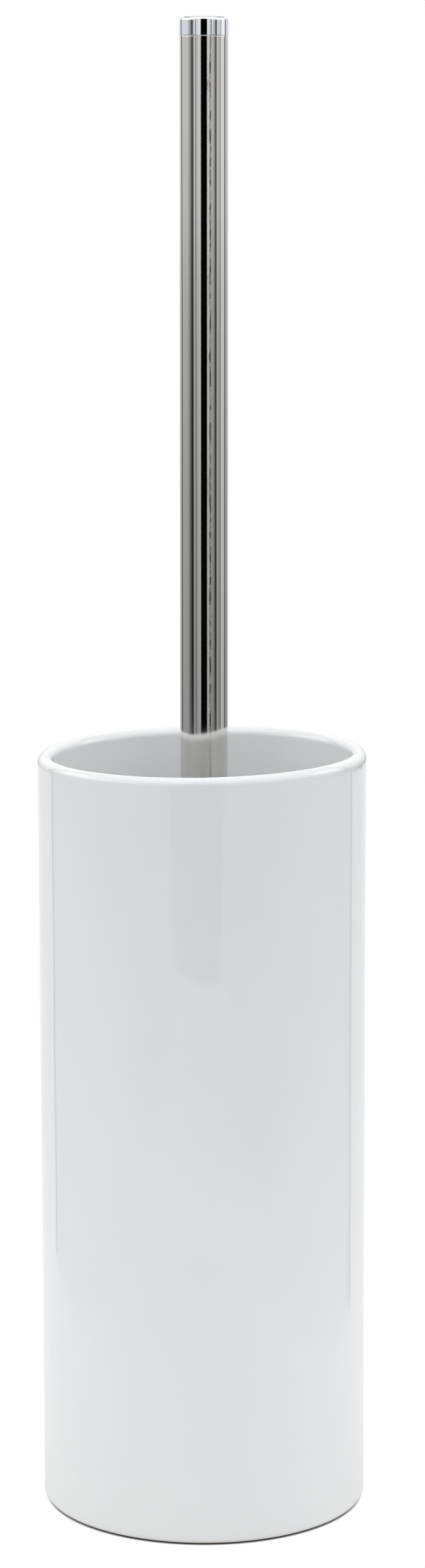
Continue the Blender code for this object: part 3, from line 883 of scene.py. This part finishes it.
def polished_steel():
    f = Finish("polished_steel", STEEL, 0.06, 1.0)
    f.rub(0.075, 0.04, 120.0)
    x, y, z = f.separate(f.place)
    angle = f.math("ARCTAN2", x, f.math("MULTIPLY", y, -1.0))
    sway = f.math("SUBTRACT", noise_node(f, f.combine(0.0, 0.0, z), 95.0, 4.0, 0.6), 0.5)
    meander = f.math("MULTIPLY", sway, SEAM_WANDER)
    offset = f.math("ADD", f.math("SUBTRACT", angle, math.radians(SEAM_ANGLE)), meander)
    away = f.math("ABSOLUTE", offset)
    depth = ramp(f, noise_node(f, f.combine(5.0, 0.0, z), 210.0, 3.0), 0.36, 0.62, 0.2, 1.0)
    groove = f.math("MULTIPLY", ramp(f, away, 0.0, SEAM_WIDTH, -1.0, 0.0), depth)
    lumps = noise_node(f, f.combine(f.math("MULTIPLY", offset, SEAM_LUMP_STRETCH), 0.0, z), 520.0, 3.0, 0.6)
    beside = ramp(f, away, SEAM_WIDTH, SEAM_REACH, 1.0, 0.0)
    lumpy = f.math("MULTIPLY", f.math("MULTIPLY", lumps, beside), SEAM_LUMPS)
    soot = f.math("MULTIPLY", f.math("MULTIPLY", groove, -1.0), SEAM_SOOT)
    f.set("Base Color", mixed(f, soot, f.drifted(STEEL_SHADE, 25.0, 0.5), SEAM_DARK))
    seam_bump = f.bump(f.math("ADD", groove, lumpy), SEAM_DEPTH)
    f.bump(f.use("grain", Stretch=(1.0, 1.0, 0.02), Scale=700.0), POLISH_GRAIN, 0.5, seam_bump)
    return f.material


def plated_cap():
    f = Finish("plated_cap", (0.80, 0.83, 0.88), 0.04, 1.0)
    f.rub(0.035, 0.03, 300.0)
    f.bump(f.use("grain", Scale=350.0, Detail=1.0), 0.006 * MM, 0.4)
    return f.material


def grey_nylon():
    f = Finish("grey_nylon", (0.30, 0.30, 0.31), 0.45)
    f.mottle((0.36, 0.36, 0.37), 300.0, 0.7)
    f.rub(0.42, 0.15, 500.0)
    f.bump(f.use("grain", Scale=2500.0), 0.01 * MM, 0.5)
    return f.material


def zinc_plate():
    f = Finish("zinc_stud", (0.62, 0.63, 0.66), 0.3, 1.0)
    f.mottle((0.66, 0.63, 0.54), 260.0, 0.8)
    f.rub(0.27, 0.2, 900.0)
    f.bump(f.use("grain", Scale=3000.0), 0.006 * MM, 0.5)
    return f.material


def seal_rubber():
    f = Finish("seal_rubber", (0.03, 0.03, 0.03), 0.62)
    f.mottle((0.06, 0.06, 0.06), 500.0, 0.7)
    f.rub(0.6, 0.2, 700.0)
    f.bump(f.use("grain", Scale=2600.0), 0.012 * MM, 0.5)
    return f.material


def turned_brass():
    f = Finish("brass_insert", (0.72, 0.53, 0.25), 0.28, 1.0)
    f.mottle((0.62, 0.42, 0.20), 350.0, 0.7)
    f.rub(0.25, 0.15, 600.0)
    x, y, z = f.separate(f.place)
    radius = f.math("SQRT", f.math("ADD", f.math("MULTIPLY", x, x), f.math("MULTIPLY", y, y)))
    turning = f.math("SINE", f.math("MULTIPLY", f.math("ADD", radius, z), 2 * math.pi / TURNING_PITCH))
    f.bump(turning, TURNING_DEPTH, 0.5)
    return f.material


def white_moulding():
    f = Finish("white_moulding", (0.84, 0.84, 0.82), 0.35)
    f.mottle((0.80, 0.80, 0.77), 90.0, 0.7)
    f.rub(0.34, 0.12, 300.0)
    f.shader.inputs["Subsurface Weight"].default_value = 0.1
    f.shader.inputs["Subsurface Radius"].default_value = (0.002, 0.002, 0.002)
    f.bump(f.use("grain", Scale=1500.0), 0.008 * MM, 0.5)
    return f.material


def white_bristle():
    f = Finish("white_bristle", (0.87, 0.87, 0.85), 0.38)
    f.mottle((0.78, 0.78, 0.75), 420.0, 0.8)
    f.rub(0.38, 0.15, 500.0)
    return f.material


# ---- studio ----------------------------------------------------------------------------------------------

# The standing lights, each from and to an azimuth in degrees, counted from the viewer's side and positive to
# the right, with its brightness beside the handle at either edge, and its brightness above the set
STANDING_LIGHTS = (
    ("rear_left", -180, -133, 1.0, 0.90, 1.1),
    ("side_left", -125, -82, 0.82, 0.80, 2.5),
    ("side_left_edge", -82, -60, 0.80, 0.20, 1.8),
    ("dim_left", -60, -52, 0.07, 0.10, 1.4),
    ("front_left_edge", -52, -47, 0.20, 0.85, 1.0),
    ("front_left", -47, -39, 0.85, 0.62, 1.0),
    ("near_left", -37, -14.5, 0.72, 0.98, 0.8),
    ("near_right", 15.5, 33, 1.0, 0.60, 1.0),
    ("front_right", 36, 53, 0.80, 0.50, 1.2),
    ("dim_right", 53, 63, 0.13, 0.20, 1.2),
    ("side_right_edge", 64, 84, 0.88, 0.62, 1.6),
    ("side_right_join", 84, 90, 0.52, 0.52, 1.6),
    ("side_right", 90, 115, 1.15, 0.95, 3.1),
    ("rear_right", 121, 180, 0.70, 1.0, 1.1),
)
LIGHT_RADIUS = 1.45
LIGHT_STEPS = 8
# Heights beside the handle, and the share of a standing light's brightness there, where dim lights lose more
LIGHT_ROWS = ((-0.03, 0.60), (0.15, 0.70), (0.25, 0.78), (0.31, 0.92), (0.45, 1.0))
LIGHT_UPPER = 0.6
LIGHT_TOP = 1.35
# The lower boards that the cup mirrors, from and to an azimuth at their upper and at their lower edge
BLUE_GREY = (0.90, 0.98, 1.08)
WHITE = (1.0, 1.0, 1.0)
LOWER_BOARDS = (
    ("lower_rear", 128.5, 231, 128.5, 231, 0.95, WHITE),
    ("lower_left", -126.5, -22, -126.5, -10, 0.72, BLUE_GREY),
    ("lower_right", 15.5, 126, 1, 126, 0.72, BLUE_GREY),
)
LOWER_TOP = -0.035
LOWER_BASE = -0.55
SKY_LIGHT = 1.62
SKY_FORWARD = 0.6
CEILING_LIGHT = 0.7
CEILING_HEIGHT = 1.36
CEILING_SIZE = 3.3
SKY_COLOUR = (0.98, 1.0, 1.03)
SKY_HEIGHT = 1.35
SKY_SIZE = 1.7
ROOM = 0.0015
FLOOR_REACH = 3.0
# Painted contact shadow on the floor's glow, within this distance of the set, between these shares of open
# sky
CONTACT_SHADE = 1.0 * MM
CONTACT_SHARES = (0.15, 0.75)
TABLE_COLOUR = (0.87, 0.86, 0.84)
TABLE_FRONT = 0.72
TABLE_LEFT = 0.23
TABLE_RIGHT = 0.19
TABLE_BACK = 0.24

CAMERA_PLACE = (0.0, -1.0595, 0.3825)
CAMERA_AIM = (0.00227, 0.0, 0.19806)
CAMERA_LENS = 92.03


def glow(name, brightness, colour=(1, 1, 1)):
    """A plain light-giving surface."""
    material = bpy.data.materials.new(name)
    material.use_nodes = True
    t = Tree(material.node_tree)
    t.tree.nodes.clear()
    light = t.node("ShaderNodeEmission")
    light.inputs["Color"].default_value = (*colour, 1)
    light.inputs["Strength"].default_value = brightness
    t.join(light.outputs[0], t.node("ShaderNodeOutputMaterial").inputs[0])
    return material


def along(t, value, stops):
    """value followed through stops, which are pairs of a place and the amount there, on straight runs."""
    total = stops[0][1]
    for (low, first), (high, second) in zip(stops, stops[1:]):
        step = t.node("ShaderNodeMapRange")
        for item, socket in zip((value, low, high, 0.0, second - first), step.inputs):
            t.join(item, socket)
        total = t.math("ADD", total, step.outputs[0])
    return total


def fading_glow(name, start, end, first, last, upper):
    """A standing light's surface, dimmer towards its foot."""
    material = glow(name, 1.0)
    t = Tree(material.node_tree)
    x, y, z = t.separate(t.node("ShaderNodeTexCoord").outputs["Object"])
    azimuth = t.math("ARCTAN2", x, t.math("MULTIPLY", y, -1.0))
    across = along(t, azimuth, ((math.radians(start), first), (math.radians(end), last)))
    share = along(t, z, LIGHT_ROWS)
    beside = t.math("MULTIPLY", share, t.math("POWER", across, t.math("DIVIDE", 1.0, share)))
    above = along(t, z, ((LIGHT_ROWS[-1][0], 0.0), (LIGHT_UPPER, 1.0)))
    added = t.math("MULTIPLY", above, t.math("SUBTRACT", upper, beside))
    t.join(t.math("ADD", beside, added), t.tree.nodes["Emission"].inputs["Strength"])
    return material


def panel(name, corners, material, seen=False):
    """A flat or bent sheet through pairs of low and high corners. It isn't part of the object."""
    mesh = bpy.data.meshes.new(name)
    points = [p for pair in corners for p in pair]
    faces = [(2 * i, 2 * i + 2, 2 * i + 3, 2 * i + 1) for i in range(len(corners) - 1)]
    mesh.from_pydata(points, [], faces)
    mesh.materials.append(material)
    obj = bpy.data.objects.new(name, mesh)
    bpy.context.scene.collection.objects.link(obj)
    obj.visible_camera = seen
    return obj


def round_about(azimuth, height):
    """A point on the ring of lights."""
    a = math.radians(azimuth)
    return LIGHT_RADIUS * math.sin(a), -LIGHT_RADIUS * math.cos(a), height


def spread(start, end):
    """Evenly spaced azimuths from start to end."""
    return [start + (end - start) * i / LIGHT_STEPS for i in range(LIGHT_STEPS + 1)]


def lights():
    for name, start, end, first, last, upper in STANDING_LIGHTS:
        corners = [(round_about(a, LIGHT_ROWS[0][0]), round_about(a, LIGHT_TOP)) for a in spread(start, end)]
        panel(name, corners, fading_glow(name, start, end, first, last, upper)).visible_shadow = False
    for name, high_start, high_end, low_start, low_end, brightness, colour in LOWER_BOARDS:
        turns = zip(spread(low_start, low_end), spread(high_start, high_end))
        corners = [(round_about(low, LOWER_BASE), round_about(high, LOWER_TOP)) for low, high in turns]
        panel(name, corners, glow(name, brightness, colour))
    for name, size, height, brightness in (
        ("overhead_light", SKY_SIZE, SKY_HEIGHT, SKY_LIGHT),
        ("ceiling", CEILING_SIZE, CEILING_HEIGHT, CEILING_LIGHT),
    ):
        half = size / 2
        sheet = [((x, -half - SKY_FORWARD, height), (x, half - SKY_FORWARD, height)) for x in (-half, half)]
        panel(name, sheet, glow(name, brightness, SKY_COLOUR))


def table():
    """The table top as the set mirrors it, and under it the white floor that the camera sees, with a painted
    contact shadow.
    """
    top = [((x, -TABLE_FRONT, -MM), (x, TABLE_BACK, -MM)) for x in (-TABLE_LEFT, TABLE_RIGHT)]
    panel("table", top, Finish("table", TABLE_COLOUR, 0.8).material)
    floor = bpy.data.materials.new("pale_floor")
    floor.use_nodes = True
    t = Tree(floor.node_tree)
    t.tree.nodes.clear()
    # A contact shadow painted into the floor's glow, darker where the set shuts the floor in.
    painted_contact_shadow = t.node("ShaderNodeAmbientOcclusion", samples=16)
    painted_contact_shadow.inputs["Distance"].default_value = CONTACT_SHADE
    light = t.node("ShaderNodeEmission")
    t.join(ramp(t, painted_contact_shadow.outputs["AO"], *CONTACT_SHARES), light.inputs["Color"])
    t.join(light.outputs[0], t.node("ShaderNodeOutputMaterial").inputs[0])
    wide = [((x, -FLOOR_REACH, 0), (x, FLOOR_REACH, 0)) for x in (-FLOOR_REACH, FLOOR_REACH)]
    ground = panel("pale_floor", wide, floor, seen=True)
    for ray in ("diffuse", "glossy", "shadow", "transmission"):
        setattr(ground, "visible_" + ray, False)


def room():
    """White to the camera, nearly dark to the set."""
    world = bpy.data.worlds.new("studio")
    bpy.context.scene.world = world
    world.use_nodes = True
    t = Tree(world.node_tree)
    sky = t.tree.nodes["Background"]
    seen = t.node("ShaderNodeLightPath").outputs["Is Camera Ray"]
    t.join(mixed(t, seen, (ROOM, ROOM, ROOM, 1), (1, 1, 1, 1)), sky.inputs["Color"])


def camera():
    data = bpy.data.cameras.new("camera")
    viewer = bpy.data.objects.new("camera", data)
    bpy.context.scene.collection.objects.link(viewer)
    viewer.location = CAMERA_PLACE
    viewer.rotation_euler = (Vector(CAMERA_AIM) - Vector(CAMERA_PLACE)).to_track_quat("-Z", "Y").to_euler()
    data.lens = CAMERA_LENS
    data.clip_start = 0.01
    bpy.context.scene.camera = viewer
    bpy.context.scene.view_settings.view_transform = "Standard"


# ---- the whole set ---------------------------------------------------------------------------------------

cup_low, cup_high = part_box("holder")
core_low, core_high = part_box("brush_core")
thread_datum = core_high.z - THREAD_DROP

effects = make_effects()
lights()
table()
room()
camera()

PIECES = (
    (ceramic_cup, white_glaze, "white_glaze", "holder", "holder"),
    (foam_ring, black_foam, "black_foam", "holder", "anti_slip_ring"),
    (steel_tube, polished_steel, "polished_steel", "handle", "handle_tube"),
    (chrome_cap, plated_cap, "plated_cap", "handle", "end_cap"),
    (nylon_bush, grey_nylon, "grey_nylon", "handle", "tube_bush"),
    (zinc_stud, zinc_plate, "zinc_stud", "handle", "threaded_stud"),
    (rubber_washer, seal_rubber, "seal_rubber", "seal", "seal_washer"),
    (brass_nut, turned_brass, "brass_insert", "brush_head", "threaded_insert"),
    (moulded_core, white_moulding, "white_moulding", "brush_head", "brush_core"),
)
for make, finish, slot, body, node in PIECES:
    piece = make()
    piece.data.materials.clear()
    piece.data.materials.append(finish())
    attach(piece, body)
    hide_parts(node)

for tufts, node in tuft_rows(white_bristle()):
    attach(tufts, "brush_head")
    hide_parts(node)
